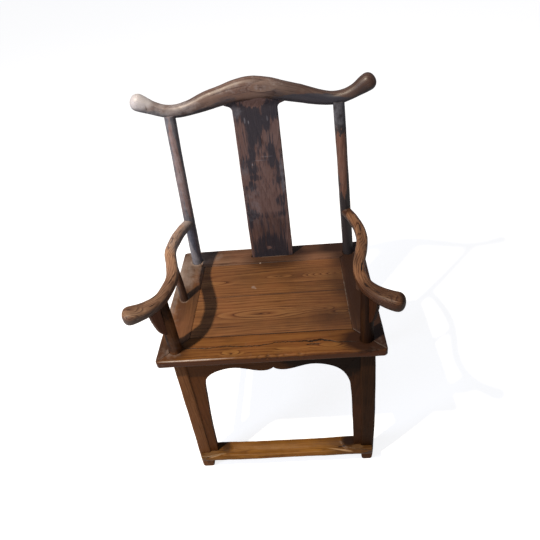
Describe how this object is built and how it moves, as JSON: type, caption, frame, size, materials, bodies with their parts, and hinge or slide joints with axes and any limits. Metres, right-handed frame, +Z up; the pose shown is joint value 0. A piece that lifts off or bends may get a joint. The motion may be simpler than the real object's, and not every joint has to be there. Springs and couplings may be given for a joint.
{
  "type": "official hat chair",
  "caption": "Elm yoke-back armchair: a curved crest rail over a shaped splat, sinuous arms, a mitred board seat, a scalloped front apron and a low foot rail on four through posts.",
  "frame": {"origin": "centre of the chair's footprint box, on the floor under its feet", "axes": "+Z up, -Y the front of the seat, +X to the right as seen from the front"},
  "size_m": [0.6302, 0.4734, 1.0507],
  "materials": {
    "crest_elm": "aged elm with worn brown lacquer, glossy from handling",
    "splat_elm": "aged elm with patches of old black lacquer",
    "post_elm": "aged elm, dark lacquer worn to brown in the middle of the posts",
    "arm_elm": "bare weathered elm, open grain, polished by hands",
    "seat_elm": "waxed elm worn warm brown",
    "under_elm": "dark red-brown stained elm",
    "foot_rail_elm": "golden worn elm",
    "bare_elm": "unfinished elm under the seat",
    "peg_wood": "dark hardwood peg"
  },
  "bodies": {
    "root": {"back_apron": "under_elm", "back_splat": "splat_elm", "crest_rail": "crest_elm", "foot_rail": "foot_rail_elm", "front_apron": "under_elm", "joint_pegs": "peg_wood", "left_arm_bracket": "under_elm", "left_armrest": "arm_elm", "left_front_post": "post_elm", "left_front_strip": "under_elm", "left_rear_post": "post_elm", "left_seat_batten": "bare_elm", "left_side_apron": "under_elm", "left_side_post": "post_elm", "left_side_stretcher": "under_elm", "rear_stretcher": "under_elm", "right_arm_bracket": "under_elm", "right_armrest": "arm_elm", "right_front_post": "post_elm", "right_front_strip": "under_elm", "right_rear_post": "post_elm", "right_seat_batten": "bare_elm", "right_side_apron": "under_elm", "right_side_post": "post_elm", "right_side_stretcher": "under_elm", "seat_back_rail": "seat_elm", "seat_board_back": "seat_elm", "seat_board_front": "seat_elm", "seat_front_rail": "seat_elm", "seat_left_rail": "seat_elm", "seat_right_rail": "seat_elm"}
  },
  "joints": []
}
